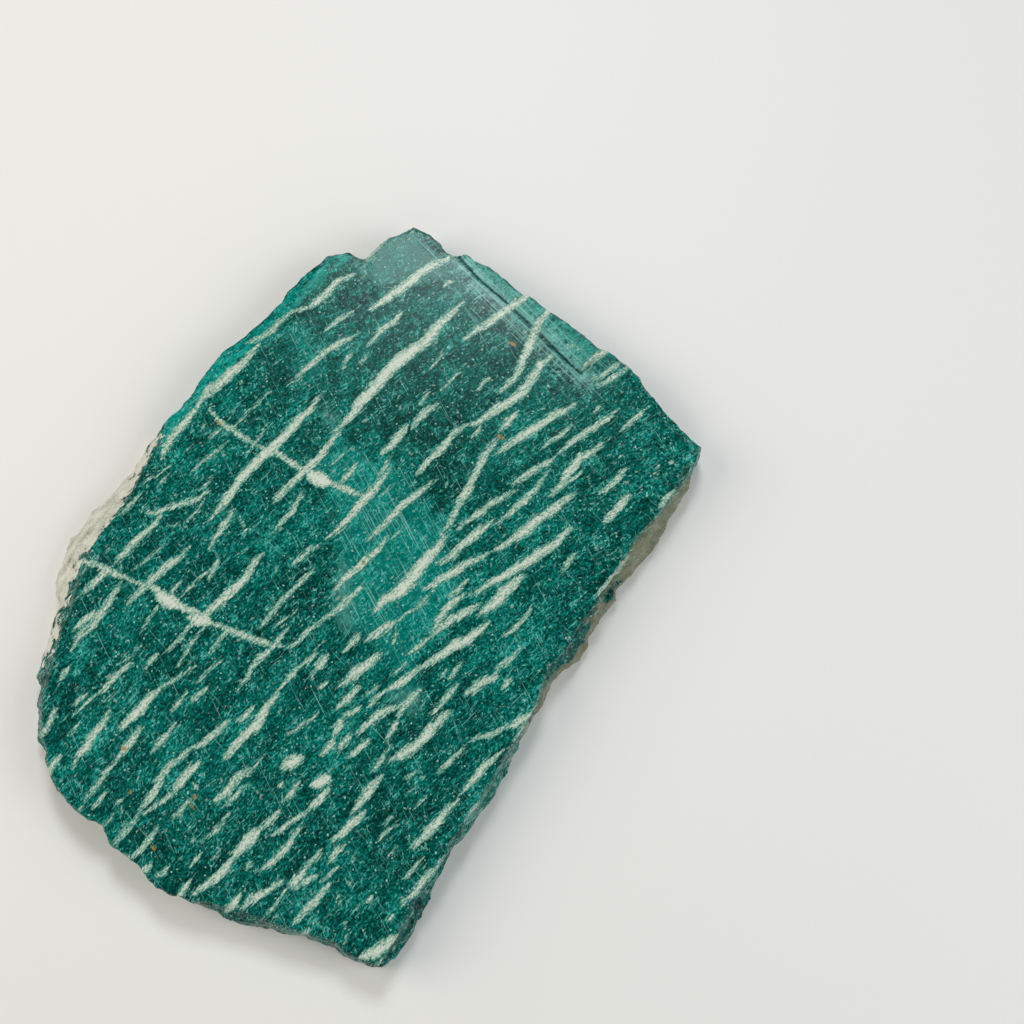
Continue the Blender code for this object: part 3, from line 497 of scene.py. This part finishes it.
def makeSlice():
    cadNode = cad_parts["amazonite_slab"]
    low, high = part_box("amazonite_slab")
    piece = bpy.data.objects.new(sliceSizes["name"], cadNode.data.copy())
    bpy.context.scene.collection.objects.link(piece)
    bpy.ops.object.select_all(action="DESELECT")
    piece.select_set(True)
    bpy.context.view_layer.objects.active = piece
    piece.data.materials.clear()

    bpy.ops.object.mode_set(mode="EDIT")
    bpy.ops.mesh.select_all(action="SELECT")
    bpy.ops.mesh.remove_doubles(threshold=0.01 * mm)
    bpy.ops.mesh.normals_make_consistent(inside=False)
    bpy.ops.object.mode_set(mode="OBJECT")

    # fine mesh whose cells lie along the grain
    turn = math.radians(sliceSizes["grainTurn"])
    squeeze = sliceSizes["cellAcross"] / sliceSizes["cellAlong"]
    turnAndSqueeze(piece, -turn, squeeze)
    applyModifier(piece, "fineCells", "REMESH", mode="VOXEL",
                  voxel_size=sliceSizes["cellAcross"] * mm, use_smooth_shade=True)
    piece.scale.x = 1 / squeeze
    bpy.ops.object.transform_apply(location=False, rotation=False, scale=True)
    piece.rotation_euler.z = turn
    bpy.ops.object.transform_apply(location=False, rotation=True, scale=False)
    print("fine mesh", len(piece.data.polygons))

    # the back needs less
    places = meshPlaces(piece.data)
    onBack = (places[:, 2] < 0.12 * mm) & (wallShare(piece.data) < 0.02)
    weighGroup(piece, "back", onBack.astype(float))
    applyModifier(piece, "thinBack", "DECIMATE", decimate_type="COLLAPSE",
                  ratio=sliceSizes["backShare"], vertex_group="back", use_collapse_triangulate=True)
    print("thinned", len(piece.data.polygons))

    # broken edge: cleavage facets, then crumbs
    weighGroup(piece, "brokenEdge", wallShare(piece.data))
    facets = bpy.data.textures.new("cleavageFacets", "VORONOI")
    facets.noise_scale = sliceSizes["facetSize"] * mm
    facets.distance_metric = "CHEBYCHEV"
    facets.noise_intensity = 1.2
    applyModifier(piece, "facets", "DISPLACE", texture=facets, texture_coords="LOCAL",
                  vertex_group="brokenEdge", mid_level=1.0, strength=sliceSizes["facetDepth"] * mm)
    crumbs = bpy.data.textures.new("crumbs", "CLOUDS")
    crumbs.noise_scale = sliceSizes["crumbSize"] * mm
    crumbs.noise_depth = 2
    applyModifier(piece, "crumbs", "DISPLACE", texture=crumbs, texture_coords="LOCAL",
                  vertex_group="brokenEdge", mid_level=1.0, strength=sliceSizes["crumbDepth"] * mm)

    shapeFace(piece)
    places = meshPlaces(piece.data)
    places = np.clip(places, np.array(low), np.array(high))
    piece.data.vertices.foreach_set("co", places.astype(np.float32).ravel())
    piece.data.update()
    bpy.ops.object.mode_set(mode="EDIT")
    bpy.ops.mesh.select_all(action="SELECT")
    bpy.ops.mesh.quads_convert_to_tris(quad_method="BEAUTY", ngon_method="BEAUTY")
    bpy.ops.object.mode_set(mode="OBJECT")
    bpy.ops.object.shade_smooth_by_angle(angle=math.radians(42))
    print("triangles", len(piece.data.polygons))
    return piece


def shapeFace(piece):    # the saw's dish and waves beside the step, as vertex moves
    places = meshPlaces(piece.data)
    onFace = (1 - wallShare(piece.data)) * (places[:, 2] > 5.5 * mm)
    away = lineDistance(places[:, :2] / mm, sawStep["line"])
    dish = np.clip(1 - away / sawStep["dishWidth"], 0, 1) ** 2 * sawStep["dish"]
    first, last = np.array(sawStep["line"][:2]), np.array(sawStep["line"][-2:])
    run = (last - first) / np.linalg.norm(last - first)
    across = (places[:, :2] / mm - first) @ np.array((-run[1], run[0]))
    waves = np.sin(across * math.tau / sawStep["pitch"]) - 1
    waves *= sawStep["waveHeight"] * (1 - smoothStep(away, 1, 9))
    places[:, 2] += onFace * (waves - dish) * mm
    piece.data.vertices.foreach_set("co", places.astype(np.float32).ravel())
    piece.data.update()


def wanderPoints(places, size, height):    # small seeded swirls, so that no row runs straight
    noise.seed_set(7)    # without it noise_vector starts from the clock
    scale = 1 / size
    return np.array([noise.noise_vector(Vector(place) * scale)[:2] for place in places]) * height


def markSlice(piece):
    places = meshPlaces(piece.data) / mm
    depth = sliceSizes["thickness"] - places[:, 2]
    dip = np.array(sliceSizes["grainDip"])
    spots = places[:, :2] + depth[:, None] * dip
    spots += wanderPoints(places, 3.0, 0.30) + wanderPoints(places, 0.9, 0.10)
    marks = {
        "streak": rowField(spots, streaks),
        "vein": rowField(spots, veins),
        "rust": rowField(spots, rustSpecks),
        "wall": wallShare(piece.data),
    }
    flat = places[:, :2] + wanderPoints(places, 2.0, 0.25)
    for name, outlines in areas.items():
        marks[name] = np.max([areaField(flat, outline) for outline in outlines], axis=0)
    marks["step"] = lineDistance(places[:, :2], sawStep["line"])

    for name, values in marks.items():
        layer = piece.data.attributes.new(name, "FLOAT", "POINT")
        layer.data.foreach_set("value", values.astype(np.float32))
    print("marks", ", ".join(marks))


# Amazonite sawn with a diamond blade and still wet: deep teal grains under a thin clear
# film, with white albite streaks whose torn edges follow the grain.
stone = {
    "name": "sawnWetAmazonite",
    "deep": "#002e28",
    "dark": "#00433b",
    "body": "#00594f",
    "bright": "#007266",
    "light": "#2e9f93",
    "stroke": "#6dbcae",
    "dot": "#a6d6c9",
    "blob": "#8dab9b",
    "scratch": "#8cc7bb",
    "streakEdge": "#4a8c7e",
    "streakMiddle": "#8db09c",
    "streakCore": "#b6c6b2",
    "streakPale": "#d0d8c8",
    "patch": "#008c80",
    # greyer film, also the colour of the painted sheen over the apex
    "hazeAndSheen": "#5e968b",
    "rindCream": "#d5d4c6",
    "rindGrey": "#a9ab9a",
    "rim": "#12a698",
    "strip": "#3da899",
    # painted sheen along the step
    "step": "#7fb4a9",
    "pearl": "#9cbcb0",
    "stain": "#8f8468",
    "rust": "#a97f45",
    "dotSpacing": 0.85,    # mm
    "patchLift": 0.07,
    "roughness": 0.17,
    "specular": 0.12,
}

# Directions that patterns run in, degrees from +X
stoneTurns = {"cross": 100.0, "step": -46.0, "scratch": -62.0}

# Patterns: their direction, then size along, across and through in mm, and detail
stonePatterns = {
    "broad": ("grain", (16.0, 9.0, 8.0), 2.0),
    "mottle": ("grain", (2.6, 1.3, 2.2), 3.0),
    "cells": ("grain", (0.50, 0.36, 0.40), 2.0),
    "stroke": ("grain", (1.05, 0.26, 0.40), 1.0),
    "crossStroke": ("cross", (0.85, 0.25, 0.40), 1.0),
    "blob": ("grain", (0.95, 0.72, 0.80), 1.5),
    "hair": ("grain", (5.5, 0.30, 2.5), 2.0),
    "torn": ("grain", (2.4, 0.36, 1.8), 2.5),
    "tornFine": ("grain", (0.60, 0.20, 0.40), 2.0),
    "grit": ("grain", (0.28, 0.22, 0.22), 1.0),
    "sawLine": ("step", (11.0, 0.20, 2.0), 2.0),
    "scratch": ("scratch", (8.0, 0.20, 2.0), 1.5),
}


def layOver(tree, below, above, field, start, end, most=1.0):    # above shows where field is high
    share = addNode(tree, "ShaderNodeMapRange", {
        "Value": field, "From Min": start, "From Max": end, "To Max": most},
        interpolation_type="SMOOTHSTEP")
    return addNode(tree, "ShaderNodeMix", {
        0: share.outputs[0], 6: below, 7: above}, data_type="RGBA").outputs[2]


def addUp(tree, start, *terms):    # start plus each field times its weight
    total = start
    for field, weight in terms:
        total = addNode(tree, "ShaderNodeMath", {0: field, 1: weight, 2: total},
                        operation="MULTIPLY_ADD").outputs[0]
    return total


def makePatterns(tree):
    place = addNode(tree, "ShaderNodeTexCoord")
    plain = addNode(tree, "ShaderNodeMapping", {
        "Vector": place.outputs["Object"], "Scale": (1000, 1000, 1000)})
    turned = addNode(tree, "ShaderNodeMapping", {
        "Vector": plain.outputs[0], "Rotation": (0, 0, -math.radians(sliceSizes["grainTurn"]))})

    # the grain bends over the stone, with small swirls
    turnedXYZ = addNode(tree, "ShaderNodeSeparateXYZ", {0: turned.outputs[0]})
    alongSquared = addNode(tree, "ShaderNodeMath", {
        0: turnedXYZ.outputs[0], 1: turnedXYZ.outputs[0]}, operation="MULTIPLY")
    across = addUp(tree, turnedXYZ.outputs[1], (alongSquared.outputs[0], sliceSizes["grainBend"]))
    bent = addNode(tree, "ShaderNodeCombineXYZ", {
        0: turnedXYZ.outputs[0], 1: across, 2: turnedXYZ.outputs[2]})
    swirl = addNode(tree, "ShaderNodeTexNoise", {
        "Vector": plain.outputs[0], "Scale": 0.22, "Detail": 2.0})
    swirled = addNode(tree, "ShaderNodeVectorMath", {
        0: swirl.outputs["Color"], 1: (1.2, 1.2, 1.2), 2: bent.outputs[0]},
        operation="MULTIPLY_ADD")
    spaces = {"grain": swirled.outputs[0]}
    for name, turn in stoneTurns.items():
        spaces[name] = addNode(tree, "ShaderNodeMapping", {
            "Vector": plain.outputs[0], "Rotation": (0, 0, -math.radians(turn))}).outputs[0]

    patterns = {}
    for name, (space, size, detail) in stonePatterns.items():
        stretched = addNode(tree, "ShaderNodeVectorMath", {
            0: spaces[space], 1: tuple(1 / step for step in size)}, operation="MULTIPLY")
        patterns[name] = addNode(tree, "ShaderNodeTexNoise", {
            "Vector": stretched.outputs[0], "Scale": 1.0, "Detail": detail,
            "Roughness": 0.6}, label=name).outputs["Fac"]

    # pale dots in some cells of a Voronoi pattern
    dots = addNode(tree, "ShaderNodeTexVoronoi", {
        "Vector": plain.outputs[0], "Scale": 1 / stone["dotSpacing"]})
    cellRandom = addNode(tree, "ShaderNodeSeparateColor", {0: dots.outputs["Color"]})
    patterns["dot"] = addUp(tree, -0.02, (cellRandom.outputs[0], 0.24), (patterns["grit"], 0.5),
                            (dots.outputs[0], -1.0))
    return patterns


def stoneMaterial():
    material = bpy.data.materials.new(stone["name"])
    material.use_nodes = True
    tree = material.node_tree
    tree.nodes.clear()
    patterns = makePatterns(tree)
    marks = {}
    for name in ("streak", "vein", "wall", "patch", "hazeAndSheen", "rind", "rim", "strip", "stain",
                 "step", "rust"):
        marks[name] = addNode(
            tree, "ShaderNodeAttribute", attribute_name=name).outputs["Fac"]

    # teal grains, lighter in the patch
    patchShare = addNode(tree, "ShaderNodeMapRange", {
        "Value": addUp(tree, marks["patch"], (patterns["mottle"], 3.0), (patterns["cells"], 1.0)),
        "From Min": 1.4, "From Max": 4.6}).outputs[0]
    tone = addUp(tree, -0.58, (patterns["cells"], 1.15), (patterns["mottle"], 0.55),
                 (patterns["broad"], 0.45), (patchShare, stone["patchLift"]))
    colour = addNode(tree, "ShaderNodeValToRGB", {0: tone}, stops=(
        (0.30, stone["deep"]), (0.42, stone["dark"]), (0.52, stone["body"]),
        (0.63, stone["bright"]), (0.80, stone["light"]))).outputs[0]
    colour = layOver(tree, colour, stone["patch"], patchShare, 0.0, 1.0, 0.32)

    # greyer film, brighter rim, the sawn strip, and a painted sheen with saw marks beside the step
    # the greyer film also carries a painted sheen over the apex
    filmAndSheen = addUp(tree, marks["hazeAndSheen"], (patterns["mottle"], 3.0), (patterns["cells"], 1.5))
    colour = layOver(tree, colour, stone["hazeAndSheen"], filmAndSheen, 1.6, 5.0, 0.50)
    # the step finish is a painted sheen, a pale film along the step
    finishes = (("rim", -1.2, 0.6, 0.75), ("strip", -0.2, 0.4, 0.65), ("step", 7.5, 0.5, 0.70))
    for name, start, end, most in finishes:
        share = addNode(tree, "ShaderNodeMapRange", {
            "Value": marks[name], "From Min": start, "From Max": end}).outputs[0]
        mixed = addUp(tree, share, (patterns["cells"], 1.0), (patterns["mottle"], 1.0),
                      (marks["wall"], -0.35))
        colour = layOver(tree, colour, stone[name], mixed, 1.5, 2.3, most)

    # cleavage that catches light: short strokes in clusters, blobs, hairs and dots
    stroke = addUp(tree, patterns["stroke"], (patterns["mottle"], 0.35))
    crossStroke = addUp(tree, patterns["crossStroke"], (patterns["mottle"], 0.35))
    colour = layOver(tree, colour, stone["stroke"], stroke, 0.81, 0.91, 0.70)
    colour = layOver(tree, colour, stone["stroke"], crossStroke, 0.83, 0.93, 0.70)
    colour = layOver(tree, colour, stone["blob"], patterns["blob"], 0.66, 0.74, 0.75)
    colour = layOver(tree, colour, stone["scratch"], patterns["hair"], 0.66, 0.74, 0.55)
    colour = layOver(tree, colour, stone["dot"], patterns["dot"], 0.25, 0.32, 0.75)

    # saw scratches over the patch, and saw lines beside the step, drawn lighter near the step as
    # part of the painted sheen
    scratch = addUp(tree, patterns["scratch"], (patchShare, 0.07))
    colour = layOver(tree, colour, stone["scratch"], scratch, 0.67, 0.76, 0.55)
    # painted sheen: near the step the saw lines are drawn lighter
    nearStep = addNode(tree, "ShaderNodeMapRange", {
        "Value": marks["step"], "From Min": 8.0, "From Max": 1.0, "To Max": 0.15}).outputs[0]
    sawLine = addUp(tree, patterns["sawLine"], (nearStep, 1.0))
    colour = layOver(tree, colour, stone["scratch"], sawLine, 0.66, 0.80, 0.70)

    # painted shadow: a thin dark line along the foot of the step
    stepShadow = addUp(tree, marks["step"], (patterns["torn"], -0.8))
    colour = layOver(tree, colour, stone["deep"], stepShadow, 0.10, -0.35, 0.85)

    # torn streaks: the smooth field of each row, frayed along the grain
    white = addNode(tree, "ShaderNodeMath", {
        0: marks["streak"], 1: addUp(tree, 0.12, (marks["vein"], 1.0))},
        operation="MAXIMUM").outputs[0]
    frayed = addUp(tree, white, (patterns["torn"], 1.4), (patterns["tornFine"], 0.75),
                   (patterns["grit"], 0.30))
    streakTone = addNode(tree, "ShaderNodeValToRGB", {
        0: addUp(tree, -0.96, (frayed, 0.50), (patterns["cells"], 1.0),
                 (patterns["grit"], 0.9))}, stops=(
            (0.56, stone["streakEdge"]), (0.72, stone["streakMiddle"]),
            (0.88, stone["streakCore"]), (1.0, stone["streakPale"]))).outputs[0]
    colour = layOver(tree, colour, stone["streakEdge"], frayed, 1.00, 1.22, 0.35)
    colour = layOver(tree, colour, streakTone, frayed, 1.16, 1.34)

    rust = addUp(tree, marks["rust"], (patterns["grit"], 0.8))
    colour = layOver(tree, colour, stone["rust"], rust, 0.30, 0.50, 0.80)

    # broken edge: pearly cleavage, browner on the right
    pearl = addUp(tree, marks["wall"], (patterns["stroke"], 1.0), (patterns["blob"], 1.0))
    colour = layOver(tree, colour, stone["pearl"], pearl, 2.0, 2.35, 0.50)
    stained = addUp(tree, marks["stain"], (patterns["mottle"], 1.5), (marks["wall"], 4.0))
    colour = layOver(tree, colour, stone["stain"], stained, 4.2, 5.6, 0.65)

    # pale rind, whose border wanders more on the broken edge
    ragged = addNode(tree, "ShaderNodeMath", {
        0: addUp(tree, -0.5, (patterns["mottle"], 1.0)), 1: marks["wall"]},
        operation="MULTIPLY").outputs[0]
    crust = addUp(tree, marks["rind"], (patterns["torn"], 1.4), (patterns["tornFine"], 0.6),
                  (ragged, 12.0))
    crustTone = addNode(tree, "ShaderNodeValToRGB", {
        0: addUp(tree, 0.0, (patterns["mottle"], 0.6), (patterns["grit"], 0.4))}, stops=(
            (0.40, stone["rindGrey"]), (0.58, stone["rindCream"]))).outputs[0]
    colour = layOver(tree, colour, crustTone, crust, 0.8, 1.4)

    relief = addUp(tree, 0.0, (patterns["cells"], 0.7), (patterns["grit"], 0.6), (sawLine, 0.9))
    bump = addNode(tree, "ShaderNodeBump", {
        "Height": relief, "Strength": 0.4, "Distance": 0.05 * mm})
    shader = addNode(tree, "ShaderNodeBsdfPrincipled", {
        "Base Color": colour, "Roughness": stone["roughness"], "Normal": bump.outputs[0],
        "Specular IOR Level": stone["specular"]})
    addNode(tree, "ShaderNodeOutputMaterial", {"Surface": shader.outputs[0]})
    return material


view = {
    "aim": (22.7, 9.9, 7.0),        # mm
    "distance": 234.7,
    "elevation": 75.0,
    "lens": 50.0,
    "floorColour": "#ebe9e4",
    "floorSize": 3.0,               # m
}


def addCamera():
    tilt = math.radians(90 - view["elevation"])
    data = bpy.data.cameras.new("camera")
    data.lens = view["lens"]
    data.sensor_width = 36.0
    data.clip_start = 0.01
    camera = bpy.data.objects.new("camera", data)
    back = Vector((0, -math.sin(tilt), math.cos(tilt))) * view["distance"]
    camera.location = (Vector(view["aim"]) + back) * mm
    camera.rotation_euler = (tilt, 0, 0)
    bpy.context.scene.collection.objects.link(camera)
    bpy.context.scene.camera = camera


def addFloor():
    bpy.ops.object.select_all(action="DESELECT")
    bpy.ops.mesh.primitive_plane_add(size=view["floorSize"])
    floor = bpy.context.active_object
    floor.name = "paleFloor"
    material = bpy.data.materials.new("mattWhiteBoard")
    material.use_nodes = True
    shader = material.node_tree.nodes["Principled BSDF"]
    shader.inputs["Base Color"].default_value = linearColour(view["floorColour"])
    shader.inputs["Roughness"].default_value = 0.6
    floor.data.materials.append(material)


# Soft boxes: where they hang, in mm, how wide they are, their colour and their power in watts
lamps = {
    "keyAbove": {"at": (10, 332, 455), "width": 150, "colour": "#f4f9ff", "power": 1.25},
    "fillLeft": {"at": (-480, 60, 330), "width": 420, "colour": "#fff8ee", "power": 1.95},
    "fillRight": {"at": (480, -120, 330), "width": 420, "colour": "#f6fbff", "power": 1.7},
    "fillFront": {"at": (0, -520, 300), "width": 420, "colour": "#fbfdff", "power": 0.7},
}


def addLamps():
    for name, lamp in lamps.items():
        data = bpy.data.lights.new(name, "AREA")
        data.size = lamp["width"] * mm
        data.color = linearColour(lamp["colour"])[:3]
        data.energy = lamp["power"]
        light = bpy.data.objects.new(name, data)
        light.location = Vector(lamp["at"]) * mm
        aim = Vector((0, 0, 0)) - light.location
        light.rotation_euler = aim.to_track_quat("-Z", "Y").to_euler()
        bpy.context.scene.collection.objects.link(light)
    world = bpy.data.worlds.new("softRoom")
    world.use_nodes = True
    background = world.node_tree.nodes["Background"]
    background.inputs["Color"].default_value = linearColour("#f2f4f4")
    background.inputs["Strength"].default_value = 0.10
    bpy.context.scene.world = world
    bpy.context.scene.view_settings.view_transform = "Standard"


piece = makeSlice()
markSlice(piece)
piece.data.materials.append(stoneMaterial())
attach(piece, "root")
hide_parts("amazonite_slab")
addFloor()
addLamps()
addCamera()
